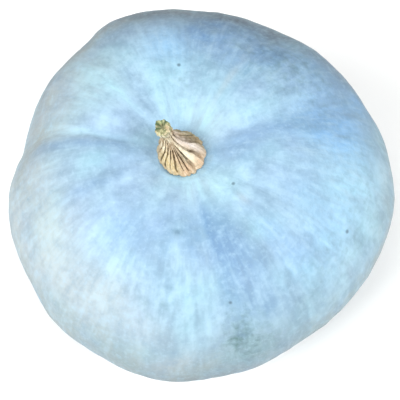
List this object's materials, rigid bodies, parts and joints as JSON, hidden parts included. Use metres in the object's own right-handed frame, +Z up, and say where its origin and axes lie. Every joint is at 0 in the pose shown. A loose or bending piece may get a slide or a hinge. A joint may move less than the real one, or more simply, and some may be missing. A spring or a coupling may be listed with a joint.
{
  "type": "hungarian blue pumpkin",
  "caption": "Whole blue-grey pumpkin as picked: a broad, slightly flattened fruit with shallow lobes and a short ridged dry stem.",
  "frame": {"origin": "under the middle of the whole fruit, on the surface that it rests on", "axes": "+Z up through the stem end; +Y away from the viewer of the picture, +X to the picture's right"},
  "size_m": [0.2628, 0.2656, 0.1901],
  "materials": {
    "skin": "satin",
    "cork": "matte"
  },
  "bodies": {
    "root": {"pumpkin_fruit": "skin", "pumpkin_stem": "cork"}
  },
  "joints": []
}
